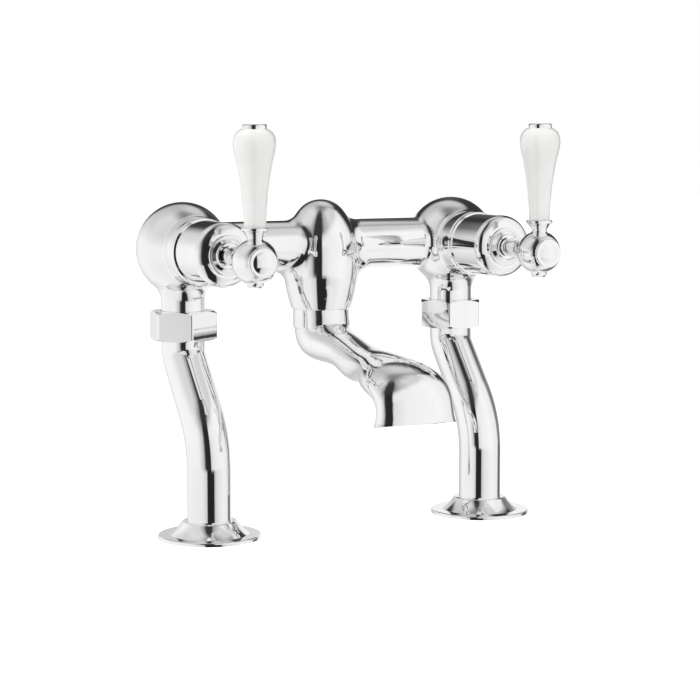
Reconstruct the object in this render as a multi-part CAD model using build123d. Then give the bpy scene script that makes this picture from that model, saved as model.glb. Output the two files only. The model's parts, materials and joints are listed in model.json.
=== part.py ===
from build123d import *
import math
import os

# Deck-mounted bath filler with two lever valves, in millimetres.
# Origin: midway between the two feet, at deck level. Front is -Y, up is +Z.

# Overall layout
inlet_spacing = 180.0
bar_height = 165.0
crank_offset = 38.0
turn_gap = 0.05
joint_gap = 0.4

# Cast body
bulb_radius = 27.5
bar_radius = 15.2
bar_fillet = 7.0
hub_crown_radius = 17.5
hub_crown_end = 40.0
hub_shoulder_radius = 42.0
hub_fillet = 12.0
neck_length = 45.0
neck_step = 0.5
neck_fillet = 12.0
boss_shoulder = 7.8
boss_step = 0.5
boss_length = 31.4
boss_lip = 2.4
boss_lip_slope = 1.2
boss_fillet = 4.0
skirt_rim_radius = 18.1
skirt_rim_drop = 38.5
skirt_rim_rounding = 0.9
union_thread_radius = 13.6
union_thread_length = 8.0
inlet_bore_radius = 8.0
bar_bore_radius = 10.8
bar_bore_setback = 28.0
outlet_bore_radius = 11.0
port_radius = 4.0
port_length = 30.0
port_side_offset = 20.0
port_front_offset = 10.0
port_angle = 45.0
valve_bore_radius = 13.0
seat_front = 12.0
seat_thickness = 3.0
seat_hole_radius = 6.5
back_chamber_radius = 13.0
back_chamber_depth = 19.0
hub_chamber_radius = 19.0

# Spout
spigot_radius = 14.0
spigot_length = 13.0
spigot_bore_radius = 10.5
spout_collar_step = 1.1
spout_collar_height = 12.0
spout_collar_flare = 0.6
spout_collar_lean = 1.2
spout_collar_rounding = 1.5
spout_root_step = 0.8
spout_root_depth = 1.0
spout_bore_step = 0.6
spout_ring_section = 0.8
spout_ring_from_rim = 8.0
lock_screw_radius = 2.5
lock_screw_from_rim = 3.4
lock_screw_dimple = 0.6
lock_screw_length = 4.0
lock_screw_key = 2.5
lock_screw_key_depth = 2.0

# Union nuts, washers and legs
nut_across_flats = 36.2
nut_height = 17.2
nut_chamfer = 2.6
nut_rounding = 1.5
nut_ledge = 3.6
washer_thickness = 1.8
leg_step = 0.7
leg_bore_radius = 9.5
leg_collar_height = 3.0
leg_straight = 3.8
upper_bend_radius = 15.0
lower_bend_radius = 54.0
bend_angle = 40.0
supply_socket_radius = 10.3
supply_socket_length = 15.0
left_nut_turn = 22.8
right_nut_turn = 0.0

# Base flanges
flange_radius = 29.95
flange_lip = 2.2
flange_shoulder_radius = 23.0
flange_waist_radius = 19.0
flange_waist_height = 5.7
flange_top_radius = 16.0
flange_height = 10.0
flange_web = 1.8
seal_radius = 21.0
seal_thickness = 1.5
foot_ring_inset = 2.5
foot_ring_thickness = 2.6

# Valves
shroud_step = 0.7
shroud_wall = 2.4
shroud_shelf = 2.0
shroud_room = 1.2
shroud_rounding = 5.0
shroud_rounding_end = 52.0
shroud_crown = 12.0
shroud_crown_end = 72.0
nose_radius = 7.6
nose_length = 3.3
ridge_inset = 8.0
ridge_height = 0.8
cartridge_flange = 6.0
cartridge_neck_room = 2.5
cartridge_neck_length = 12.2
cartridge_tip_radius = 9.0
cartridge_tip_length = 8.0
cage_radius = 11.0
cage_end = 24.0
seal_face = 1.0
window_width = 8.0
disc_radius = 8.6
disc_thickness = 3.0
disc_port_outer = 7.4
disc_port_inner = 2.2
driver_thickness = 4.0
spindle_radius = 4.5
spindle_in_lever = 22.4
spindle_flat_setback = 2.4
spindle_flat = 3.6
ring_groove_depth = 1.0
ring_groove_setback = 4.0
clip_gap = 0.5
clip_width = 1.0
clip_radius = 7.0
clip_groove_depth = 0.7
clip_split = 5.0

# Lever
shank_gap = 1.2
shank_radius = 5.6
shank_middle_radius = 6.4
shank_top_radius = 9.2
shank_overlap = 4.0
lever_setback = 33.4
ball_radius = 12.7
ball_drop = 1.2
hub_screw_setback = 8.4
hub_screw_radius = 2.0
hub_screw_length = 2.4
hub_screw_key = 2.0
hub_screw_key_depth = 1.6
ball_top_flat = 1.4
ball_under_flat = 1.5
face_radius = 8.4
face_rise = 11.3
face_dome = 0.25
face_rounding = 0.8
cup_foot_radius = 5.6
cup_foot_height = 0.5
cup_waist_radius = 4.3
cup_waist_height = 1.3
cup_flare_radius = 5.5
cup_flare_height = 3.7
cup_rim_radius = 7.7
cup_rim_low = 5.9
cup_length = 7.5
cup_recess = 1.2
tang_radius = 3.0
tang_depth = 4.0
rod_radius = 2.0
rod_foot = 4.5
rod_clearance = 0.5
lever_base_radius = 6.0
lever_top_radius = 7.2
lever_length = 53.0
cap_radius = 6.7
cap_height = 2.6
cap_rounding = 1.0
cap_dot_radius = 1.2
cap_dot_depth = 0.5
finial_radius = 4.7
finial_neck = 0.8
finial_tip_radius = 3.6
finial_tip_length = 1.2
finial_length = 3.0

# Radius of the ceramic lever, and where along its length each one lies
lever_swell = (
    (6.35, 0.1396),
    (7.0, 0.3283),
    (8.4, 0.517),
    (10.4, 0.7057),
    (11.75, 0.8472),
    (10.6, 0.9434),
)

# Heights above the deck
half_spacing = inlet_spacing / 2
neck_end_height = bar_height - neck_length
skirt_rim_height = bar_height - skirt_rim_drop
leg_top_height = neck_end_height - washer_thickness
nut_base_height = leg_top_height - leg_collar_height - nut_ledge
leg_bend_height = nut_base_height - leg_straight

# Radii that follow the piece they fit
neck_radius = union_thread_radius - neck_step
leg_radius = union_thread_radius - leg_step
foot_ring_radius = seal_radius - foot_ring_inset
boss_radius = bulb_radius - boss_shoulder
boss_face_radius = boss_radius - boss_step
shroud_radius = boss_face_radius - shroud_step
shroud_bore = shroud_radius - shroud_wall
shroud_inner_radius = shroud_bore - shroud_shelf
ridge_radius = shroud_radius - ridge_inset
cartridge_neck_radius = shroud_inner_radius - cartridge_neck_room

# Valve stations, measured forward from the bar's axis
seat_back = seat_front - seat_thickness
boss_face = boss_length + boss_lip
cartridge_flange_end = boss_face + cartridge_flange
ring_station = cartridge_flange_end + ring_groove_setback
cartridge_neck_end = cartridge_flange_end + cartridge_neck_length
cartridge_end = cartridge_neck_end + cartridge_tip_length
clip_station = cartridge_end + clip_gap
shroud_edge = cartridge_end + shroud_room
rounding_rise = shroud_rounding * math.sin(math.radians(shroud_rounding_end))
crown_sines = math.sin(math.radians(shroud_crown_end)) - math.sin(math.radians(shroud_rounding_end))
shroud_face = shroud_edge + rounding_rise + shroud_crown * crown_sines
nose_end = shroud_face + nose_length
shank_start = nose_end + shank_gap
spindle_flat_start = shank_start + spindle_flat_setback
hub_screw_station = shank_start + hub_screw_setback
spindle_end = shank_start + spindle_in_lever
lever_station = shank_start + lever_setback

# Lever heights, measured from the ball's middle
cup_waist = ball_radius - ball_top_flat
cup_height = cup_waist + cup_length
lever_top = cup_height + lever_length
finial_top = ball_radius - ball_under_flat


def save(shape, name):
    shape.label = name
    export_step(shape, "parts/" + name + ".step")


def turned(outline):
    # Turns an outline of curves in (radius, height) about the upright axis.
    profile = make_face(Curve() + outline)
    return revolve(Plane.XZ * profile, Axis.Z)


def turned_points(*points):
    return turned([Polyline(*points, close=True)])


def ring(outer, inner, low, high):
    return turned_points((inner, low), (outer, low), (outer, high), (inner, high))


def arc(middle, radius, start, end):
    # An arc about a point, between two angles in degrees.
    points = []
    for angle in (start, (start + end) / 2, end):
        turn = math.radians(angle)
        points.append((middle[0] + radius * math.cos(turn), middle[1] + radius * math.sin(turn)))
    return ThreePointArc(*points)


def rod(radius, low, high):
    return Pos(0, 0, (low + high) / 2) * Cylinder(radius, high - low)


def at_side(side):
    return Pos(side * half_spacing, 0, 0)


def at_valve(side):
    # Local +Z points forward along the valve, local +Y points up.
    return Pos(side * half_spacing, crank_offset, bar_height) * Rot(90, 0, 0)


def at_lever(side):
    # Local origin is the ball's centre and local +Z points up the lever.
    return Pos(side * half_spacing, crank_offset - lever_station, bar_height - ball_drop)


def edges_beside(shape, nearest, furthest):
    # Curved edges across the bar whose middle lies between two distances from the centre.
    found = []
    for edge in shape.edges():
        box = edge.bounding_box()
        away = abs(box.min.X + box.max.X) / 2
        across = box.size.X < bar_radius and edge.geom_type != GeomType.LINE
        if across and nearest < away < furthest:
            found.append(edge)
    return found


def edges_round(shape, radius, height):
    # Full circles of one radius whose centre is this far from the bulb's middle.
    found = []
    for edge in shape.edges().filter_by(GeomType.CIRCLE):
        centre = edge.arc_center
        away = abs(centre.Y) + abs(centre.Z)
        if abs(edge.radius - radius) < 0.02 and abs(away - height) < 0.1:
            found.append(edge)
    return found


# Body casting
def hub_and_bar():
    # The outline runs from the top in three smooth arcs: crown, shoulder and flank.
    turn = math.radians(hub_crown_end)
    lean = hub_crown_radius - hub_shoulder_radius
    crown_height = bulb_radius - hub_crown_radius
    shoulder_inset = lean * math.cos(turn)
    waist_height = crown_height + lean * math.sin(turn)
    drop = waist_height + skirt_rim_drop
    taper = shoulder_inset + hub_shoulder_radius - skirt_rim_radius
    flank_radius = (drop ** 2 + taper ** 2) / (2 * taper)
    flank_inset = skirt_rim_radius + taper - flank_radius
    flank_end = -math.degrees(math.asin(drop / flank_radius))
    crown = arc((0, crown_height), hub_crown_radius, 90, hub_crown_end)
    shoulder = arc((shoulder_inset, waist_height), hub_shoulder_radius, hub_crown_end, 0)
    flank = arc((flank_inset, waist_height), flank_radius, 0, flank_end)
    low = -skirt_rim_drop
    base = Polyline((skirt_rim_radius, low), (0, low), (0, bulb_radius))
    profile = make_face(Curve() + [crown, shoulder, flank, base])
    rim = [v for v in profile.vertices() if abs(v.Y - low) < 0.01 and v.X > skirt_rim_radius - 0.01]
    profile = fillet(rim, skirt_rim_rounding)
    shape = Rot(0, 0, 90) * revolve(Plane.XZ * profile, Axis.Z)
    shape += Rot(0, 90, 0) * Cylinder(bar_radius, inlet_spacing)
    return fillet(edges_beside(shape, bar_radius / 2, bulb_radius), hub_fillet)


def bulb_end():
    boss = turned_points(
        (0, 0),
        (boss_radius, 0),
        (boss_radius, boss_length),
        (boss_face_radius, boss_length + boss_lip_slope),
        (boss_face_radius, boss_face),
        (0, boss_face),
    )
    neck = rod(neck_radius, -neck_length, 0)
    thread = rod(union_thread_radius, -neck_length, union_thread_length - neck_length)
    return Sphere(bulb_radius) + Rot(90, 0, 0) * boss + neck + thread


def blended_body():
    shape = hub_and_bar()
    for side in (-1, 1):
        shape += Pos(side * half_spacing, 0, 0) * Sphere(bulb_radius)
    meet = half_spacing - math.sqrt(bulb_radius ** 2 - bar_radius ** 2)
    shape = fillet(edges_beside(shape, meet - 0.5, meet + 0.5), bar_fillet)
    for side in (-1, 1):
        shape += Pos(side * half_spacing, 0, 0) * bulb_end()
    depth = math.sqrt(bulb_radius ** 2 - neck_radius ** 2)
    shape = fillet(edges_round(shape, neck_radius, depth), neck_fillet)
    depth = math.sqrt(bulb_radius ** 2 - boss_radius ** 2)
    return fillet(edges_round(shape, boss_radius, depth), boss_fillet)


def body_waterways():
    bar_bore_length = inlet_spacing - 2 * bar_bore_setback
    cut = Rot(0, 90, 0) * Cylinder(bar_bore_radius, bar_bore_length)
    cut += Sphere(hub_chamber_radius)
    cut += rod(outlet_bore_radius, -skirt_rim_drop, 0)
    cut += rod(spigot_radius, -skirt_rim_drop - 1, spigot_length - skirt_rim_drop)
    for side in (-1, 1):
        valve = Rot(90, 0, 0) * rod(valve_bore_radius, seat_front, boss_face + 1)
        valve += Rot(90, 0, 0) * rod(seat_hole_radius, seat_back - 1, seat_front + 1)
        valve += Rot(90, 0, 0) * rod(back_chamber_radius, -back_chamber_depth, seat_back)
        valve += rod(inlet_bore_radius, -neck_length - 1, 0)
        port = Rot(0, 90, 0) * Cylinder(port_radius, port_length)
        port = Rot(0, 0, -side * port_angle) * port
        port = Pos(-side * port_side_offset, -port_front_offset, 0) * port
        cut += Pos(side * half_spacing, 0, 0) * (valve + port)
    return cut


def body():
    shape = blended_body() - body_waterways()
    low = lock_screw_from_rim - skirt_rim_drop
    screw_hole = rod(lock_screw_radius, spigot_radius - 1, skirt_rim_radius + lock_screw_radius)
    screw_hole = Pos(0, 0, low) * Rot(-90, 0, 0) * screw_hole
    return Pos(0, crank_offset, bar_height) * (shape - screw_hole)


# Spout
# Each section is the upper and the lower point of a ring, as (Y, Z) from the middle of
# the skirt's rim, its half width and its wall. The first one lies inside the collar.
spout_collar_radius = skirt_rim_radius - spout_collar_step
spout_root_radius = spout_collar_radius - spout_root_step
spout_root_wall = spout_root_radius - spigot_bore_radius - spout_bore_step
spout_sections = (
    (
        (-spout_root_radius, -spout_root_depth),
        (spout_root_radius, -spout_root_depth),
        spout_root_radius,
        spout_root_wall,
    ),
    ((-17.0, -6.9), (15.8, -12.4), 16.4, 5.0),
    ((-21.3, -9.6), (9.4, -25.2), 17.2, 4.2),
    ((-31.1, -11.6), (-12.7, -31.9), 15.5, 3.0),
    ((-48.2, -15.0), (-46.3, -36.6), 14.1, 2.4),
    ((-69.5, -17.8), (-66.6, -38.5), 15.1, 2.4),
    ((-93.1, -19.3), (-84.5, -41.9), 19.5, 2.4),
    ((-111.5, -22.4), (-97.4, -44.2), 23.7, 2.3),
    ((-126.0, -31.1), (-107.8, -46.9), 24.1, 2.2),
    ((-130.8, -40.5), (-110.1, -49.9), 23.8, 2.1),
    ((-133.4, -53.6), (-109.6, -58.0), 25.8, 2.0),
)


def spout_loft(inner):
    rings = []
    for (y1, z1), (y2, z2), half_width, wall in spout_sections:
        taken = wall if inner else 0
        half_depth = math.hypot(y2 - y1, z2 - z1) / 2 - taken
        middle = (0, (y1 + y2) / 2, (z1 + z2) / 2)
        plane = Plane(middle, x_dir=(1, 0, 0), z_dir=(0, z2 - z1, y1 - y2))
        rings.append(plane * Ellipse(half_width - taken, half_depth))
    return Pos(0, crank_offset, skirt_rim_height) * loft(rings)


def spout_collar():
    # It widens and leans a little forward from the skirt to the root of the arm.
    low = Pos(0, -spout_collar_lean, -spout_collar_height) * Circle(spout_collar_radius + spout_collar_flare)
    shape = loft([Circle(spout_collar_radius), low])
    edge = shape.edges().sort_by(Axis.Z)[0]
    return Pos(0, crank_offset, skirt_rim_height) * fillet(edge, spout_collar_rounding)


def spout():
    shape = spout_loft(False) + spout_collar()
    top = skirt_rim_height + spigot_length
    shape += Pos(0, crank_offset, 0) * rod(spigot_radius, skirt_rim_height - 2, top)
    shape -= spout_loft(True)
    shape -= Pos(0, crank_offset, 0) * rod(spigot_bore_radius, skirt_rim_height - 2 * spout_root_depth, top)
    middle = skirt_rim_height + spout_ring_from_rim
    section = spout_ring_section
    inner = spigot_radius - 2 * section
    groove = ring(spigot_radius + 1, inner, middle - section, middle + section)
    dimple = Pos(0, 0, skirt_rim_height + lock_screw_from_rim) * lock_screw_blank()
    return shape - Pos(0, crank_offset, 0) * (groove + dimple)


def spout_ring():
    middle = skirt_rim_height + spout_ring_from_rim
    section = spout_ring_section
    return Pos(0, crank_offset, middle) * Torus(spigot_radius - section, section)


def lock_screw_blank():
    start = spigot_radius - lock_screw_dimple
    middle = start + lock_screw_length / 2
    return Pos(0, middle, 0) * Rot(90, 0, 0) * Cylinder(lock_screw_radius, lock_screw_length)


def hex_pocket(across, depth):
    # Opens at local height zero and runs down into the screw.
    outline = RegularPolygon(across / 2, 6, major_radius=False)
    return extrude(outline, -depth)


def lock_screw():
    outer = spigot_radius - lock_screw_dimple + lock_screw_length
    pocket = hex_pocket(lock_screw_key, lock_screw_key_depth)
    pocket = Pos(0, outer, 0) * Rot(-90, 0, 0) * pocket
    height = skirt_rim_height + lock_screw_from_rim
    return Pos(0, crank_offset, height) * (lock_screw_blank() - pocket)


# Unions and legs
def union_nut(side, turn):
    outline = RegularPolygon(nut_across_flats / 2, 6, major_radius=False)
    outline = fillet(outline.vertices(), nut_rounding)
    shape = extrude(outline, nut_height)
    corner = nut_across_flats / math.sqrt(3)
    edge = corner - nut_chamfer
    drop = nut_chamfer * math.tan(math.radians(30))
    shape &= turned_points(
        (0, 0),
        (edge, 0),
        (corner, drop),
        (corner, nut_height - drop),
        (edge, nut_height),
        (0, nut_height),
    )
    shape -= rod(leg_radius, -1, nut_ledge + 1)
    shape -= rod(union_thread_radius, nut_ledge, nut_height + 1)
    place = Pos(side * half_spacing, crank_offset, nut_base_height)
    return place * Rot(0, 0, turn) * shape


def union_washer(side):
    washer = ring(union_thread_radius, leg_bore_radius, leg_top_height, neck_end_height)
    return Pos(side * half_spacing, crank_offset, 0) * washer


def leg_path():
    turn = math.radians(bend_angle)
    sag = 1 - math.cos(turn)
    slope = (crank_offset - (upper_bend_radius + lower_bend_radius) * sag) / math.sin(turn)
    y1 = crank_offset - upper_bend_radius * sag
    z1 = leg_bend_height - upper_bend_radius * math.sin(turn)
    y2 = y1 - slope * math.sin(turn)
    z2 = z1 - slope * math.cos(turn)
    z3 = z2 - lower_bend_radius * math.sin(turn)
    top = (0, crank_offset, leg_top_height)
    start = (0, crank_offset, leg_bend_height)
    down = Line(top, start)
    bend = TangentArc(start, (0, y1, z1), tangent=(0, 0, -1))
    lean = Line((0, y1, z1), (0, y2, z2))
    back = TangentArc((0, y2, z2), (0, 0, z3), tangent=(0, y2 - y1, z2 - z1))
    foot = Line((0, 0, z3), (0, 0, 0))
    return Curve() + [down, bend, lean, back, foot]


def leg_sweep(radius):
    start = Plane((0, crank_offset, leg_top_height), z_dir=(0, 0, -1))
    return sweep(start * Circle(radius), path=leg_path())


def leg(side):
    shape = leg_sweep(leg_radius)
    ledge = nut_base_height + nut_ledge
    shape += Pos(0, crank_offset, 0) * rod(union_thread_radius - turn_gap, ledge, leg_top_height)
    shape -= leg_sweep(leg_bore_radius)
    shape -= rod(supply_socket_radius, -1, supply_socket_length)
    return at_side(side) * shape


# Base flanges
def base_flange(side):
    outer = [
        Line((flange_radius, 0), (flange_radius, flange_lip - 1)),
        TangentArc((flange_radius, flange_lip - 1), (flange_radius - 1, flange_lip), tangent=(0, 1)),
        Line((flange_radius - 1, flange_lip), (flange_shoulder_radius, flange_lip)),
        ThreePointArc(
            (flange_shoulder_radius, flange_lip),
            (flange_waist_radius, flange_waist_height),
            (flange_top_radius, flange_height - 0.5),
        ),
        Line((flange_top_radius, flange_height - 0.5), (flange_top_radius - 0.6, flange_height)),
        Polyline(
            (flange_top_radius - 0.6, flange_height),
            (leg_radius, flange_height),
            (leg_radius, flange_height - flange_web),
            (foot_ring_radius - 1.5, seal_thickness + foot_ring_thickness + 0.4),
            (foot_ring_radius + 0.2, seal_thickness + foot_ring_thickness),
            (foot_ring_radius + 0.2, seal_thickness),
            (seal_radius, seal_thickness),
            (seal_radius, 0),
            (flange_radius, 0),
        ),
    ]
    return at_side(side) * turned(outer)


def base_seal(side):
    return at_side(side) * ring(seal_radius, leg_radius, 0, seal_thickness)


def foot_ring(side):
    top = seal_thickness + foot_ring_thickness
    return at_side(side) * ring(foot_ring_radius, leg_radius, seal_thickness, top)


# Valves
def shroud(side):
    # The front edge rounds off tightly first, then in a slower curve to the face.
    middle = (shroud_radius - shroud_rounding, shroud_edge)
    rounding = arc(middle, shroud_rounding, 0, shroud_rounding_end)
    back = shroud_rounding - shroud_crown
    turn = math.radians(shroud_rounding_end)
    middle = (middle[0] + back * math.cos(turn), middle[1] + back * math.sin(turn))
    crown = arc(middle, shroud_crown, shroud_rounding_end, shroud_crown_end)
    cavity_top = clip_station + clip_width + clip_gap
    outline = [
        Line((shroud_radius, boss_face), (shroud_radius, shroud_edge)),
        rounding,
        crown,
        Line(crown @ 1, (ridge_radius + 1, shroud_face)),
        ThreePointArc(
            (ridge_radius + 1, shroud_face),
            (ridge_radius, shroud_face + ridge_height),
            (ridge_radius - 1, shroud_face),
        ),
        Polyline(
            (ridge_radius - 1, shroud_face),
            (nose_radius, shroud_face + 1.2),
            (nose_radius, nose_end - 0.4),
            (nose_radius - 0.4, nose_end),
            (spindle_radius + joint_gap, nose_end),
            (spindle_radius + joint_gap, cavity_top),
            (shroud_inner_radius, cavity_top),
            (shroud_inner_radius, cartridge_flange_end),
            (shroud_bore, cartridge_flange_end),
            (shroud_bore, boss_face),
            (shroud_radius, boss_face),
        ),
    ]
    return at_valve(side) * turned(outline)


def cartridge(side):
    base = seat_front + seal_face
    bore = spindle_radius + turn_gap
    chamber = base + 2 * disc_thickness + driver_thickness + 0.3
    shape = turned_points(
        (disc_radius + joint_gap, base),
        (cage_radius, base),
        (cage_radius, cage_end),
        (valve_bore_radius, cage_end),
        (valve_bore_radius, boss_face),
        (shroud_bore, boss_face),
        (shroud_bore, cartridge_flange_end),
        (cartridge_neck_radius, cartridge_flange_end),
        (cartridge_neck_radius, cartridge_neck_end),
        (cartridge_tip_radius, cartridge_neck_end),
        (cartridge_tip_radius, cartridge_end),
        (bore, cartridge_end),
        (bore, chamber),
        (disc_radius + joint_gap, chamber),
    )
    low = base + 2 * disc_thickness
    window = Box(2 * cage_radius + 2, window_width, driver_thickness)
    shape -= Pos(0, 0, low + driver_thickness / 2) * window
    return at_valve(side) * shape


def seat_seal(side):
    return at_valve(side) * ring(cage_radius - 0.5, seat_hole_radius + 1, seat_front, seat_front + seal_face)


def port_pair(thickness, turn):
    # Two facing sector holes, each 70 degrees wide.
    half = math.tan(math.radians(35)) * disc_radius
    wedge = Polyline((0, 0), (disc_radius, half), (disc_radius, -half), close=True)
    sector = make_face(wedge) & (Circle(disc_port_outer) - Circle(disc_port_inner))
    hole = extrude(sector, thickness)
    return Rot(0, 0, turn) * (hole + Rot(0, 0, 180) * hole)


def fixed_disc(side):
    low = seat_front + seal_face
    shape = rod(disc_radius + joint_gap, low, low + disc_thickness)
    shape -= Pos(0, 0, low) * port_pair(disc_thickness, 90)
    return at_valve(side) * shape


def moving_disc(side):
    low = seat_front + seal_face + disc_thickness
    shape = rod(disc_radius, low, low + disc_thickness)
    shape -= Pos(0, 0, low) * port_pair(disc_thickness, 0)
    return at_valve(side) * shape


def spindle_blank():
    shape = rod(spindle_radius, seat_front, spindle_end)
    for way in (-1, 1):
        middle = way * (spindle_flat + spindle_radius / 2)
        length = spindle_end - spindle_flat_start
        flat = Box(2 * spindle_radius, spindle_radius, length + 2)
        shape -= Pos(0, middle, spindle_flat_start + length / 2 + 1) * flat
    return shape


def spindle(side):
    low = seat_front + seal_face + 2 * disc_thickness
    shape = spindle_blank() - rod(spindle_radius + 1, seat_front - 1, low)
    shape += rod(disc_radius, low, low + driver_thickness)
    groove = spindle_radius - ring_groove_depth
    wide = spindle_radius + 1
    shape -= ring(wide, groove, ring_station, ring_station + ring_groove_depth)
    shape -= ring(wide, spindle_radius - clip_groove_depth, clip_station, clip_station + clip_width)
    passage = Box(disc_port_outer * 2, disc_port_inner * 2, driver_thickness)
    shape -= Pos(disc_port_outer + disc_port_inner, 0, low + driver_thickness / 2) * passage
    shape -= Pos(-disc_port_outer - disc_port_inner, 0, low + driver_thickness / 2) * passage
    return at_valve(side) * shape


def spindle_ring(side):
    section = ring_groove_depth / 2
    middle = ring_station + section
    return at_valve(side) * Pos(0, 0, middle) * Torus(spindle_radius - section, section)


def retaining_clip(side):
    inner = spindle_radius - clip_groove_depth
    shape = ring(clip_radius, inner, clip_station, clip_station + clip_width)
    split = Box(clip_split, clip_radius, 3 * clip_width)
    shape -= Pos(0, -clip_radius / 2 - 1, clip_station) * split
    return at_valve(side) * shape


# Levers
def lever_hub(side):
    shank_end = lever_station - ball_radius + shank_overlap
    flare = ThreePointArc(
        (shank_radius, shank_start),
        (shank_middle_radius, (shank_start + shank_end) / 2),
        (shank_top_radius, shank_end),
    )
    back = Polyline(
        (shank_top_radius, shank_end),
        (0, shank_end),
        (0, shank_start),
        (shank_radius, shank_start),
    )
    shank = turned([flare, back])
    ball = Sphere(ball_radius)
    ball -= rod(ball_radius, cup_waist, ball_radius + 1)
    ball -= rod(ball_radius, -ball_radius - 1, -finial_top)
    ball += Rot(90, 0, 0) * hub_face()
    column = rod(tang_radius, cup_waist - tang_depth, ball_radius + 1)
    column += rod(rod_radius, rod_foot, cup_waist)
    column += rod(tang_radius, -ball_radius - 1, -finial_top + tang_depth)
    shape = at_valve(side) * shank + at_lever(side) * ball
    shape -= at_lever(side) * column
    shape -= at_valve(side) * spindle_blank()
    shape -= at_valve(side) * hub_screw_blank(shank_radius)
    return shape


def hub_face():
    # The shallow domed disc on the front of the ball, along local +Z.
    flat = face_radius - face_rounding
    edge = face_rise - face_dome
    middle = ThreePointArc((0, face_rise), (flat / 2, face_rise - face_dome / 4), (flat, edge))
    corner = arc((flat, edge - face_rounding), face_rounding, 90, 0)
    root = face_radius / 2
    back = Polyline((face_radius, edge - face_rounding), (face_radius, root), (0, root), (0, face_rise))
    return turned([middle, corner, back])


def hub_screw_blank(length):
    middle = -spindle_flat - length / 2
    cylinder = Rot(90, 0, 0) * Cylinder(hub_screw_radius, length)
    return Pos(0, middle, hub_screw_station) * cylinder


def hub_screw(side):
    pocket = Rot(90, 0, 0) * hex_pocket(hub_screw_key, hub_screw_key_depth)
    pocket = Pos(0, -spindle_flat - hub_screw_length, hub_screw_station) * pocket
    return at_valve(side) * (hub_screw_blank(hub_screw_length) - pocket)


def lever_cup(side):
    seat = cup_height - cup_recess
    recess = lever_base_radius
    outline = [
        Polyline(
            (rod_radius, cup_waist - tang_depth),
            (tang_radius, cup_waist - tang_depth),
            (tang_radius, cup_waist),
            (cup_foot_radius, cup_waist),
        ),
        ThreePointArc(
            (cup_foot_radius, cup_waist),
            ((cup_foot_radius + 2 * cup_waist_radius) / 3, cup_waist + cup_foot_height),
            (cup_waist_radius, cup_waist + cup_waist_height),
        ),
        ThreePointArc(
            (cup_waist_radius, cup_waist + cup_waist_height),
            (cup_flare_radius, cup_waist + cup_flare_height),
            (cup_rim_radius, cup_waist + cup_rim_low),
        ),
        Polyline(
            (cup_rim_radius, cup_waist + cup_rim_low),
            (cup_rim_radius, cup_height - 0.4),
            (cup_rim_radius - 0.4, cup_height),
            (recess, cup_height),
            (recess, seat),
            (rod_radius, seat),
            (rod_radius, cup_waist - tang_depth),
        ),
    ]
    return at_lever(side) * turned(outline)


def ceramic_lever(side):
    seat = cup_height - cup_recess
    hole = rod_radius + rod_clearance
    swell = [(lever_base_radius, cup_height)]
    for radius, share in lever_swell:
        swell.append((radius, cup_height + share * lever_length))
    swell.append((lever_top_radius, lever_top))
    outline = [
        Line((hole, seat), (lever_base_radius, seat)),
        Line((lever_base_radius, seat), (lever_base_radius, cup_height)),
        Spline(*swell),
        Line((lever_top_radius, lever_top), (hole, lever_top)),
        Line((hole, lever_top), (hole, seat)),
    ]
    return at_lever(side) * turned(outline)


def lever_rod(side):
    return at_lever(side) * rod(rod_radius, rod_foot, lever_top + cap_height / 2)


def tip_cap(side):
    high = lever_top + cap_height
    outline = [
        Line((rod_radius, lever_top), (cap_radius, lever_top)),
        Line((cap_radius, lever_top), (cap_radius, high - cap_rounding)),
        TangentArc((cap_radius, high - cap_rounding), (cap_radius - cap_rounding, high), tangent=(0, 1)),
        Polyline(
            (cap_radius - cap_rounding, high),
            (cap_dot_radius, high),
            (cap_dot_radius - 0.4, high - cap_dot_depth),
            (0, high - cap_dot_depth),
            (0, lever_top + cap_height / 2),
            (rod_radius, lever_top + cap_height / 2),
            (rod_radius, lever_top),
        ),
    ]
    return at_lever(side) * turned(outline)


def finial(side):
    low = -finial_top - finial_length
    shape = turned_points(
        (0, -finial_top + tang_depth),
        (tang_radius, -finial_top + tang_depth),
        (tang_radius, -finial_top),
        (finial_radius + 0.5, -finial_top),
        (finial_radius, -finial_top - finial_neck),
        (finial_radius, low + finial_tip_length),
        (finial_tip_radius, low),
        (1.0, low),
        (0.7, low + 0.6),
        (0, low + 0.6),
    )
    return at_lever(side) * shape


os.makedirs("parts", exist_ok=True)
save(body(), "body")
save(spout(), "spout")
save(spout_ring(), "spout_seal_ring")
save(lock_screw(), "spout_lock_screw")
for side, prefix, nut_turn in ((-1, "left_", left_nut_turn), (1, "right_", right_nut_turn)):
    save(union_nut(side, nut_turn), prefix + "union_nut")
    save(union_washer(side), prefix + "union_washer")
    save(leg(side), prefix + "leg")
    save(base_flange(side), prefix + "base_flange")
    save(base_seal(side), prefix + "base_seal")
    save(foot_ring(side), prefix + "foot_ring")
    save(shroud(side), prefix + "valve_shroud")
    save(cartridge(side), prefix + "cartridge_body")
    save(seat_seal(side), prefix + "seat_seal")
    save(fixed_disc(side), prefix + "fixed_disc")
    save(moving_disc(side), prefix + "moving_disc")
    save(spindle(side), prefix + "spindle")
    save(spindle_ring(side), prefix + "spindle_seal_ring")
    save(retaining_clip(side), prefix + "retaining_clip")
    save(lever_hub(side), prefix + "lever_hub")
    save(hub_screw(side), prefix + "hub_screw")
    save(lever_cup(side), prefix + "lever_cup")
    save(ceramic_lever(side), prefix + "ceramic_lever")
    save(lever_rod(side), prefix + "lever_rod")
    save(tip_cap(side), prefix + "tip_cap")
    save(finial(side), prefix + "finial")
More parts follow.
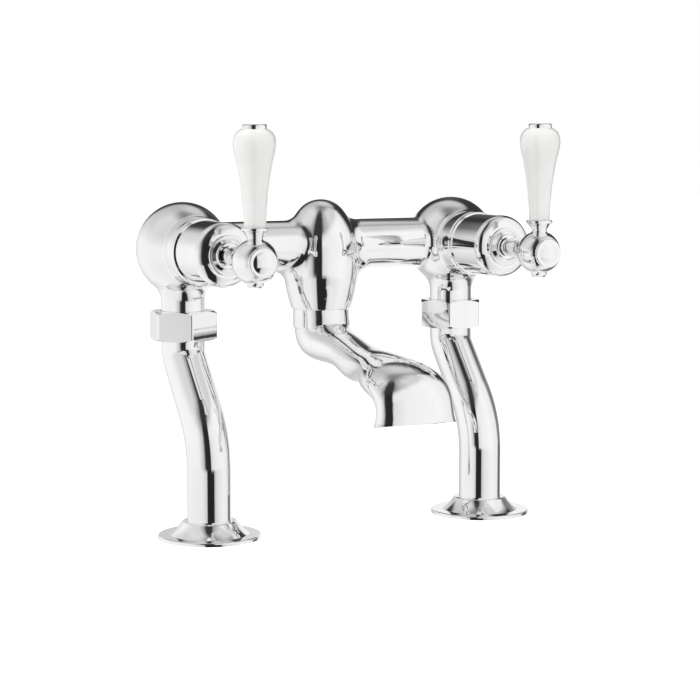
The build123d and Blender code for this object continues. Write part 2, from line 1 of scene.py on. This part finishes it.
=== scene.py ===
# A deck-mounted bath filler tap in a small photo studio: camera, light tent and surface finishes
import bpy
import json
from math import radians
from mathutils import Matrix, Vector

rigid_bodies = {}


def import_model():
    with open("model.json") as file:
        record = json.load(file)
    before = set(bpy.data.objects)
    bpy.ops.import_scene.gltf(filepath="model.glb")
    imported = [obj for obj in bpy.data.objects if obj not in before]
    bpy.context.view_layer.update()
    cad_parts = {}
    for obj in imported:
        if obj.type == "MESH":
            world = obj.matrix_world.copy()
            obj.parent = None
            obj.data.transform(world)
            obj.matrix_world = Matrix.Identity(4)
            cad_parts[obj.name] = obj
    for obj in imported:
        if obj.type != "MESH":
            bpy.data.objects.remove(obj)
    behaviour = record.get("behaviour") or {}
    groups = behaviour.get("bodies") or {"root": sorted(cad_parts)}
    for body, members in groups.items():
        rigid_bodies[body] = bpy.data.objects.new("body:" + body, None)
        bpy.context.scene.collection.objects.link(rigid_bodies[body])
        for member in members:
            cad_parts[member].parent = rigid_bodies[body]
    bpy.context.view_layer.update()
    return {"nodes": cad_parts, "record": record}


bpy.ops.object.select_all(action="SELECT")
bpy.ops.object.delete()   # whatever the start-up file brings
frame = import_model()
print("tap loaded:", len(frame["nodes"]), "nodes")


# Small helpers

def deselectAll():
    bpy.ops.object.select_all(action="DESELECT")


def addNode(tree, kind, place, **settings):
    node = tree.nodes.new(kind)
    node.location = place
    for name, value in settings.items():
        setattr(node, name, value)
    return node


def wire(tree, fromSocket, toSocket):
    tree.links.new(fromSocket, toSocket)


def startMaterial(name):
    material = bpy.data.materials.new(name)
    material.use_nodes = True
    material.node_tree.nodes.clear()
    return material, material.node_tree


def placedRamp(tree, place, stops):
    ramp = addNode(tree, "ShaderNodeValToRGB", place)
    points = ramp.color_ramp.elements
    while len(points) > 1:
        points.remove(points[-1])
    points[0].position = stops[0][0]
    points[0].color = (stops[0][1], stops[0][1], stops[0][1], 1)
    for where, level in stops[1:]:
        point = points.new(where)
        point.color = (level, level, level, 1)
    return ramp


# Shared surface effects

marksLook = {"patchDetail": 5.0, "patchRoughness": 0.6, "patchRange": (0.42, 0.68), "streakDetail": 3.0,
             "streakStretch": (1.0, 1.0, 0.12), "streakRange": (0.5, 0.75), "streakShare": 0.35}


def buildHandlingMarks(look):
    # soft patches and fine wiping streaks left by hands and cloths, 0 to 1
    group = bpy.data.node_groups.new("handlingMarks", "ShaderNodeTree")
    group.interface.new_socket("Vector", in_out="INPUT", socket_type="NodeSocketVector")
    group.interface.new_socket("Patch Scale", in_out="INPUT", socket_type="NodeSocketFloat")
    group.interface.new_socket("Streak Scale", in_out="INPUT", socket_type="NodeSocketFloat")
    group.interface.new_socket("Mask", in_out="OUTPUT", socket_type="NodeSocketFloat")
    entry = addNode(group, "NodeGroupInput", (-700, 0))
    leave = addNode(group, "NodeGroupOutput", (500, 0))
    patches = addNode(group, "ShaderNodeTexNoise", (-450, 150))
    patches.inputs["Detail"].default_value = look["patchDetail"]
    patches.inputs["Roughness"].default_value = look["patchRoughness"]
    stretch = addNode(group, "ShaderNodeVectorMath", (-600, -200), operation="MULTIPLY")
    stretch.inputs[1].default_value = look["streakStretch"]
    streaks = addNode(group, "ShaderNodeTexNoise", (-400, -200))
    streaks.inputs["Detail"].default_value = look["streakDetail"]
    patchRange = addNode(group, "ShaderNodeMapRange", (-150, 150))
    patchRange.inputs["From Min"].default_value = look["patchRange"][0]
    patchRange.inputs["From Max"].default_value = look["patchRange"][1]
    streakRange = addNode(group, "ShaderNodeMapRange", (-150, -200))
    streakRange.inputs["From Min"].default_value = look["streakRange"][0]
    streakRange.inputs["From Max"].default_value = look["streakRange"][1]
    both = addNode(group, "ShaderNodeMath", (150, 0), operation="MULTIPLY_ADD")
    both.inputs[1].default_value = look["streakShare"]
    wire(group, entry.outputs["Vector"], patches.inputs["Vector"])
    wire(group, entry.outputs["Patch Scale"], patches.inputs["Scale"])
    wire(group, entry.outputs["Vector"], stretch.inputs[0])
    wire(group, stretch.outputs[0], streaks.inputs["Vector"])
    wire(group, entry.outputs["Streak Scale"], streaks.inputs["Scale"])
    wire(group, patches.outputs["Fac"], patchRange.inputs["Value"])
    wire(group, streaks.outputs["Fac"], streakRange.inputs["Value"])
    wire(group, streakRange.outputs["Result"], both.inputs[0])
    wire(group, patchRange.outputs["Result"], both.inputs[2])
    wire(group, both.outputs[0], leave.inputs["Mask"])
    return group


grainLook = {"rippleDetail": 2.0, "grainDetail": 4.0, "grainRoughness": 0.65}


def buildSurfaceGrain(look):
    # height of the skin: a slow ripple left by polishing or glazing, and a finer grain on top
    group = bpy.data.node_groups.new("surfaceGrain", "ShaderNodeTree")
    group.interface.new_socket("Vector", in_out="INPUT", socket_type="NodeSocketVector")
    group.interface.new_socket("Ripple Scale", in_out="INPUT", socket_type="NodeSocketFloat")
    group.interface.new_socket("Grain Scale", in_out="INPUT", socket_type="NodeSocketFloat")
    group.interface.new_socket("Grain Share", in_out="INPUT", socket_type="NodeSocketFloat")
    group.interface.new_socket("Height", in_out="OUTPUT", socket_type="NodeSocketFloat")
    entry = addNode(group, "NodeGroupInput", (-600, 0))
    leave = addNode(group, "NodeGroupOutput", (400, 0))
    ripple = addNode(group, "ShaderNodeTexNoise", (-350, 150))
    ripple.inputs["Detail"].default_value = look["rippleDetail"]
    grain = addNode(group, "ShaderNodeTexNoise", (-350, -150))
    grain.inputs["Detail"].default_value = look["grainDetail"]
    grain.inputs["Roughness"].default_value = look["grainRoughness"]
    blend = addNode(group, "ShaderNodeMix", (100, 0))
    wire(group, entry.outputs["Vector"], ripple.inputs["Vector"])
    wire(group, entry.outputs["Vector"], grain.inputs["Vector"])
    wire(group, entry.outputs["Ripple Scale"], ripple.inputs["Scale"])
    wire(group, entry.outputs["Grain Scale"], grain.inputs["Scale"])
    wire(group, entry.outputs["Grain Share"], blend.inputs["Factor"])
    wire(group, ripple.outputs["Fac"], blend.inputs["A"])
    wire(group, grain.outputs["Fac"], blend.inputs["B"])
    wire(group, blend.outputs["Result"], leave.inputs["Height"])
    return group


handlingMarks = buildHandlingMarks(marksLook)
surfaceGrain = buildSurfaceGrain(grainLook)


# Finishes

def finishMaterial(name, look):
    material, tree = startMaterial(name)
    out = addNode(tree, "ShaderNodeOutputMaterial", (700, 0))
    shader = addNode(tree, "ShaderNodeBsdfPrincipled", (400, 0))
    where = addNode(tree, "ShaderNodeTexCoord", (-900, 0))
    marks = addNode(tree, "ShaderNodeGroup", (-600, 150), node_tree=handlingMarks)
    marks.inputs["Patch Scale"].default_value = look["patchScale"]
    marks.inputs["Streak Scale"].default_value = look["streakScale"]
    grain = addNode(tree, "ShaderNodeGroup", (-600, -250), node_tree=surfaceGrain)
    grain.inputs["Ripple Scale"].default_value = look["rippleScale"]
    grain.inputs["Grain Scale"].default_value = look["grainScale"]
    grain.inputs["Grain Share"].default_value = look["grainShare"]
    tint = addNode(tree, "ShaderNodeMix", (-100, 250), data_type="RGBA")
    tint.inputs["A"].default_value = (*look["cleanColour"], 1)
    tint.inputs["B"].default_value = (*look["wornColour"], 1)
    dull = addNode(tree, "ShaderNodeMapRange", (-100, 0))
    dull.inputs["To Min"].default_value = look["roughness"][0]
    dull.inputs["To Max"].default_value = look["roughness"][1]
    bump = addNode(tree, "ShaderNodeBump", (100, -250))
    bump.inputs["Strength"].default_value = look["bumpStrength"]
    bump.inputs["Distance"].default_value = look["bumpDepth"]
    wire(tree, where.outputs["Object"], marks.inputs["Vector"])
    wire(tree, where.outputs["Object"], grain.inputs["Vector"])
    wire(tree, marks.outputs["Mask"], tint.inputs["Factor"])
    wire(tree, marks.outputs["Mask"], dull.inputs["Value"])
    wire(tree, grain.outputs["Height"], bump.inputs["Height"])
    wire(tree, tint.outputs["Result"], shader.inputs["Base Color"])
    wire(tree, dull.outputs["Result"], shader.inputs["Roughness"])
    wire(tree, bump.outputs["Normal"], shader.inputs["Normal"])
    shader.inputs["Metallic"].default_value = look["metallic"]
    shader.inputs["IOR"].default_value = look["ior"]
    shader.inputs["Coat Weight"].default_value = look["coat"]
    shader.inputs["Coat Roughness"].default_value = look["coatRoughness"]
    wire(tree, shader.outputs["BSDF"], out.inputs["Surface"])
    return material


finishes = {
    "chrome": {"cleanColour": (0.93, 0.932, 0.935), "wornColour": (0.89, 0.893, 0.898),
               "roughness": (0.035, 0.075), "metallic": 1.0, "ior": 1.5, "coat": 0.0, "coatRoughness": 0.03,
               "patchScale": 28.0, "streakScale": 420.0, "rippleScale": 60.0, "grainScale": 900.0,
               "grainShare": 0.12, "bumpStrength": 0.05, "bumpDepth": 0.0004},
    "lever_ceramic": {"cleanColour": (0.86, 0.86, 0.845), "wornColour": (0.82, 0.815, 0.79),
                      "roughness": (0.08, 0.16), "metallic": 0.0, "ior": 1.54,
                      "coat": 0.5, "coatRoughness": 0.04,
                      "patchScale": 40.0, "streakScale": 300.0, "rippleScale": 110.0, "grainScale": 1400.0,
                      "grainShare": 0.15, "bumpStrength": 0.08, "bumpDepth": 0.0003},
    "valve_ceramic": {"cleanColour": (0.80, 0.78, 0.70), "wornColour": (0.72, 0.69, 0.60),
                      "roughness": (0.3, 0.45), "metallic": 0.0, "ior": 1.6,
                      "coat": 0.0, "coatRoughness": 0.1,
                      "patchScale": 120.0, "streakScale": 900.0, "rippleScale": 300.0, "grainScale": 4000.0,
                      "grainShare": 0.5, "bumpStrength": 0.15, "bumpDepth": 0.0001},
    "brass": {"cleanColour": (0.74, 0.56, 0.26), "wornColour": (0.60, 0.42, 0.18),
              "roughness": (0.22, 0.42), "metallic": 1.0, "ior": 1.5, "coat": 0.0, "coatRoughness": 0.1,
              "patchScale": 70.0, "streakScale": 1600.0, "rippleScale": 250.0, "grainScale": 3000.0,
              "grainShare": 0.5, "bumpStrength": 0.2, "bumpDepth": 0.0002},
    "steel": {"cleanColour": (0.58, 0.58, 0.59), "wornColour": (0.48, 0.475, 0.47),
              "roughness": (0.2, 0.38), "metallic": 1.0, "ior": 1.5, "coat": 0.0, "coatRoughness": 0.1,
              "patchScale": 90.0, "streakScale": 2200.0, "rippleScale": 300.0, "grainScale": 3500.0,
              "grainShare": 0.5, "bumpStrength": 0.2, "bumpDepth": 0.0002},
    "rubber": {"cleanColour": (0.03, 0.03, 0.032), "wornColour": (0.07, 0.07, 0.07),
               "roughness": (0.5, 0.72), "metallic": 0.0, "ior": 1.5, "coat": 0.0, "coatRoughness": 0.1,
               "patchScale": 150.0, "streakScale": 900.0, "rippleScale": 400.0, "grainScale": 5000.0,
               "grainShare": 0.6, "bumpStrength": 0.3, "bumpDepth": 0.0002},
}

made = {name: finishMaterial(name + "Finish", look) for name, look in finishes.items()}
slotOf = {part["node"]: part["material_slot"] for part in frame["record"]["subparts"]}
for nodeName, piece in frame["nodes"].items():
    for holder in piece.material_slots:
        holder.material = made[slotOf[nodeName]]
print("finishes on", len(frame["nodes"]), "nodes")


# Backdrop

def seenRays(tree, place):
    # 1 where a surface is seen straight, in a mirror or through glass, and 0 where it only lights others
    path = addNode(tree, "ShaderNodeLightPath", place)
    straight = addNode(tree, "ShaderNodeMath", (place[0] + 200, place[1]), operation="MAXIMUM")
    seen = addNode(tree, "ShaderNodeMath", (place[0] + 350, place[1]), operation="MAXIMUM")
    wire(tree, path.outputs["Is Camera Ray"], straight.inputs[0])
    wire(tree, path.outputs["Is Glossy Ray"], straight.inputs[1])
    wire(tree, straight.outputs[0], seen.inputs[0])
    wire(tree, path.outputs["Is Transmission Ray"], seen.inputs[1])
    return seen.outputs[0]


# the floor's own glow grows from the first lift near the tap to the second far away, so its far end is white
floorLook = {"size": 8.0, "colour": (0.80, 0.80, 0.80), "roughness": 0.6,
             "lift": (0.66, 1.0), "reach": (0.3, 1.3)}


def buildFloor(look):
    deselectAll()
    bpy.ops.mesh.primitive_plane_add(size=look["size"], location=(0, 0, 0))
    floor = bpy.context.object
    floor.name = "studioFloor"
    material, tree = startMaterial("studioFloorPaint")
    out = addNode(tree, "ShaderNodeOutputMaterial", (600, 0))
    paint = addNode(tree, "ShaderNodeBsdfPrincipled", (0, 100))
    paint.inputs["Base Color"].default_value = (*look["colour"], 1)
    paint.inputs["Roughness"].default_value = look["roughness"]
    paint.inputs["Specular IOR Level"].default_value = 0.0
    glow = addNode(tree, "ShaderNodeEmission", (0, -250))
    where = addNode(tree, "ShaderNodeTexCoord", (-800, -450))
    away = addNode(tree, "ShaderNodeVectorMath", (-600, -450), operation="LENGTH")
    reach = addNode(tree, "ShaderNodeMapRange", (-400, -450), interpolation_type="SMOOTHSTEP")
    reach.inputs["From Min"].default_value = look["reach"][0]
    reach.inputs["From Max"].default_value = look["reach"][1]
    reach.inputs["To Min"].default_value = look["lift"][0]
    reach.inputs["To Max"].default_value = look["lift"][1]
    lift = addNode(tree, "ShaderNodeMath", (-150, -350), operation="MULTIPLY")
    both = addNode(tree, "ShaderNodeAddShader", (350, 0))
    wire(tree, where.outputs["Object"], away.inputs[0])
    wire(tree, away.outputs["Value"], reach.inputs["Value"])
    wire(tree, seenRays(tree, (-600, -200)), lift.inputs[0])
    wire(tree, reach.outputs["Result"], lift.inputs[1])
    wire(tree, lift.outputs[0], glow.inputs["Strength"])
    wire(tree, paint.outputs["BSDF"], both.inputs[0])
    wire(tree, glow.outputs["Emission"], both.inputs[1])
    wire(tree, both.outputs["Shader"], out.inputs["Surface"])
    floor.data.materials.append(material)
    floor.visible_glossy = False   # polished metal sees the tent's lower cloth instead


buildFloor(floorLook)


# Light tent, which is what polished metal sees around it

# four bands of cloth one above another: azimuth in degrees, 0 straight in front and turning towards the
# right, with the brightness there; then the lower and upper height where one band turns into the next, and
# how much higher that is for each metre to the right
tentLook = {
    "centre": (0.0, 0.038), "radius": 0.45, "bottom": -0.60, "roof": 1.10,
    "wallFacets": 128, "endFacets": 64,
    "base": [(-180, 0.58), (-162, 0.82), (-140, 0.98), (-60, 0.90), (-42, 0.70), (-38, 0.02), (-10, 0.02),
             (-7, 0.55), (5, 0.80), (40, 0.96), (76, 0.90), (86, 0.12), (100, 0.15), (108, 0.60), (118, 0.95),
             (145, 1.0), (160, 0.66), (180, 0.58)],
    "low": [(-180, 0.58), (-162, 0.86), (-140, 1.0), (-70, 0.95), (-52, 0.60), (-44, 0.03), (-23, 0.02),
            (-20, 0.75), (0, 0.92), (40, 1.0), (78, 0.88), (88, 0.20), (106, 0.25), (118, 0.70), (130, 0.95),
            (150, 0.92), (165, 0.66), (180, 0.58)],
    "high": [(-180, 0.04), (-172, 0.06), (-158, 0.70), (-130, 0.95), (-80, 0.92), (-52, 0.55), (-45, 0.02),
             (-23, 0.02), (-20, 0.88), (40, 1.0), (80, 0.90), (90, 0.40), (97, 0.03), (130, 0.05),
             (142, 0.10), (155, 0.04), (180, 0.04)],
    "crown": [(-180, 0.50), (-150, 0.62), (-110, 0.78), (-75, 0.72), (-58, 0.35), (-48, 0.04), (-22, 0.04),
              (-10, 0.40), (20, 0.72), (80, 0.66), (95, 0.40), (115, 0.60), (150, 0.66), (180, 0.50)],
    "baseToLow": (0.00, 0.03, 0.0), "lowToHigh": (0.20, 0.30, 0.0), "highToCrown": (0.38, 0.62, 0.5),
}
# the roof and the bottom: the wall's band that they meet, their level in the middle, and from which distance
# to which the one turns into the other
tentRoofLook = {"height": "roof", "rim": "crown", "middle": 0.24, "patch": (0.02, 0.45)}
tentBottomLook = {"height": "bottom", "rim": "base", "middle": 0.80, "patch": (0.02, 0.45)}


def azimuthStops(levels):
    # the radial gradient starts behind the tap and comes round to there again
    return [((angle + 180.0) / 360.0, level) for angle, level in levels]


def startCloth(name):
    # a glowing cloth: the place on it, its azimuth from 0 to 1 with the front at one half, and its colour
    material, tree = startMaterial(name)
    out = addNode(tree, "ShaderNodeOutputMaterial", (900, 0))
    glow = addNode(tree, "ShaderNodeEmission", (700, 0))
    where = addNode(tree, "ShaderNodeTexCoord", (-1100, 0))
    turn = addNode(tree, "ShaderNodeMapping", (-900, 150))
    turn.inputs["Rotation"].default_value = (0, 0, radians(90))
    around = addNode(tree, "ShaderNodeTexGradient", (-700, 150), gradient_type="RADIAL")
    wire(tree, where.outputs["Object"], turn.inputs["Vector"])
    wire(tree, turn.outputs["Vector"], around.inputs["Vector"])
    wire(tree, glow.outputs["Emission"], out.inputs["Surface"])
    return material, tree, where.outputs["Object"], around.outputs["Fac"], glow.inputs["Color"]


def showOnlyInReflections(card, material):
    card.visible_camera = False
    card.visible_diffuse = False
    card.visible_shadow = False
    material.cycles.emission_sampling = "NONE"


def buildTentWall(look):
    deselectAll()
    middle = (look["bottom"] + look["roof"]) / 2
    bpy.ops.mesh.primitive_cylinder_add(vertices=look["wallFacets"], radius=look["radius"],
                                        depth=look["roof"] - look["bottom"], end_fill_type="NOTHING",
                                        location=(*look["centre"], middle))
    wall = bpy.context.object
    wall.name = "tentWall"
    material, tree, place, azimuth, colour = startCloth("tentWallCloth")
    base = placedRamp(tree, (-400, 550), azimuthStops(look["base"]))
    low = placedRamp(tree, (-400, 300), azimuthStops(look["low"]))
    high = placedRamp(tree, (-400, 50), azimuthStops(look["high"]))
    crown = placedRamp(tree, (-400, -450), azimuthStops(look["crown"]))
    for ramp in (base, low, high, crown):
        wire(tree, azimuth, ramp.inputs["Fac"])
    cloth = base.outputs["Color"]
    steps = (("baseToLow", low), ("lowToHigh", high), ("highToCrown", crown))
    for count, (band, ramp) in enumerate(steps):
        rise = addNode(tree, "ShaderNodeMapRange", (0, 200 - 250 * count), interpolation_type="SMOOTHSTEP")
        rise.inputs["From Min"].default_value = look[band][0] - middle
        rise.inputs["From Max"].default_value = look[band][1] - middle
        slant = addNode(tree, "ShaderNodeVectorMath", (-200, 200 - 250 * count), operation="DOT_PRODUCT")
        slant.inputs[1].default_value = (-look[band][2], 0, 1)
        blend = addNode(tree, "ShaderNodeMix", (200 + 150 * count, 200 - 100 * count), data_type="RGBA")
        wire(tree, place, slant.inputs[0])
        wire(tree, slant.outputs["Value"], rise.inputs["Value"])
        wire(tree, rise.outputs["Result"], blend.inputs["Factor"])
        wire(tree, cloth, blend.inputs["A"])
        wire(tree, ramp.outputs["Color"], blend.inputs["B"])
        cloth = blend.outputs["Result"]
    wire(tree, cloth, colour)
    wall.data.materials.append(material)
    showOnlyInReflections(wall, material)


def buildTentEnd(name, look, end):
    # a round cloth that meets the wall in the wall's own levels and turns into one level towards its middle
    deselectAll()
    bpy.ops.mesh.primitive_circle_add(vertices=look["endFacets"], radius=look["radius"], fill_type="NGON",
                                      location=(*look["centre"], look[end["height"]]))
    cover = bpy.context.object
    cover.name = name
    material, tree, place, azimuth, colour = startCloth(name + "Cloth")
    rim = placedRamp(tree, (-300, 150), azimuthStops(look[end["rim"]]))
    away = addNode(tree, "ShaderNodeVectorMath", (-700, -200), operation="LENGTH")
    patch = addNode(tree, "ShaderNodeMapRange", (-300, -200), interpolation_type="SMOOTHSTEP")
    patch.inputs["From Min"].default_value = end["patch"][0]
    patch.inputs["From Max"].default_value = end["patch"][1]
    cloth = addNode(tree, "ShaderNodeMix", (200, 0), data_type="RGBA")
    cloth.inputs["A"].default_value = (end["middle"], end["middle"], end["middle"], 1)
    wire(tree, place, away.inputs[0])
    wire(tree, azimuth, rim.inputs["Fac"])
    wire(tree, away.outputs["Value"], patch.inputs["Value"])
    wire(tree, patch.outputs["Result"], cloth.inputs["Factor"])
    wire(tree, rim.outputs["Color"], cloth.inputs["B"])
    wire(tree, cloth.outputs["Result"], colour)
    cover.data.materials.append(material)
    showOnlyInReflections(cover, material)


buildTentWall(tentLook)
buildTentEnd("tentRoof", tentLook, tentRoofLook)
buildTentEnd("tentBottom", tentLook, tentBottomLook)
print("floor and light tent built")


# Lamps

lampAim = (0, 0, 0.12)   # about the middle of the tap
lamps = {
    "leftLamp": {"place": (-0.85, -0.10, 0.70), "size": (0.9, 1.1), "power": 6.5},
    "rightLamp": {"place": (0.55, -0.95, 0.75), "size": (0.9, 1.1), "power": 7.5},
    "topLamp": {"place": (0.0, 0.25, 1.30), "size": (1.2, 1.0), "power": 6.0},
}


def buildLamp(name, look):
    deselectAll()
    bpy.ops.object.light_add(type="AREA", location=look["place"])
    lamp = bpy.context.object
    lamp.name = name
    lamp.data.shape = "RECTANGLE"
    lamp.data.size = look["size"][0]
    lamp.data.size_y = look["size"][1]
    lamp.data.energy = look["power"]
    aim = Vector(lampAim) - Vector(look["place"])
    lamp.rotation_euler = aim.to_track_quat("-Z", "Y").to_euler()
    lamp.visible_glossy = False   # metal sees the tent instead
    lamp.visible_camera = False


for lampName, lampLook in lamps.items():
    buildLamp(lampName, lampLook)


worldLook = {"colour": (1, 1, 1), "ambient": 0.35, "seen": 1.0}


def buildWorld(look):
    world = bpy.data.worlds.new("studioAir")
    bpy.context.scene.world = world
    world.use_nodes = True
    tree = world.node_tree
    tree.nodes.clear()
    out = addNode(tree, "ShaderNodeOutputWorld", (500, 0))
    glow = addNode(tree, "ShaderNodeBackground", (250, 0))
    glow.inputs["Color"].default_value = (*look["colour"], 1)
    level = addNode(tree, "ShaderNodeMapRange", (50, 0))
    level.inputs["To Min"].default_value = look["ambient"]
    level.inputs["To Max"].default_value = look["seen"]
    wire(tree, seenRays(tree, (-500, 0)), level.inputs["Value"])
    wire(tree, level.outputs["Result"], glow.inputs["Strength"])
    wire(tree, glow.outputs["Background"], out.inputs["Surface"])


buildWorld(worldLook)
print("lamps lit")


# Camera

# lens and sensor width in millimetres, the rest in metres
cameraLook = {"place": (-0.5544, -1.1160, 0.2439), "direction": (0.44266, 0.88978, -0.11112),
              "lens": 108.73, "sensor": 36.0, "nearest": 0.01}


def buildCamera(look):
    bpy.ops.object.camera_add(location=look["place"])
    camera = bpy.context.object
    camera.name = "studioCamera"
    camera.rotation_euler = Vector(look["direction"]).to_track_quat("-Z", "Y").to_euler()
    camera.data.lens = look["lens"]
    camera.data.sensor_width = look["sensor"]
    camera.data.clip_start = look["nearest"]
    bpy.context.scene.camera = camera


buildCamera(cameraLook)
bpy.context.scene.view_settings.view_transform = "Standard"
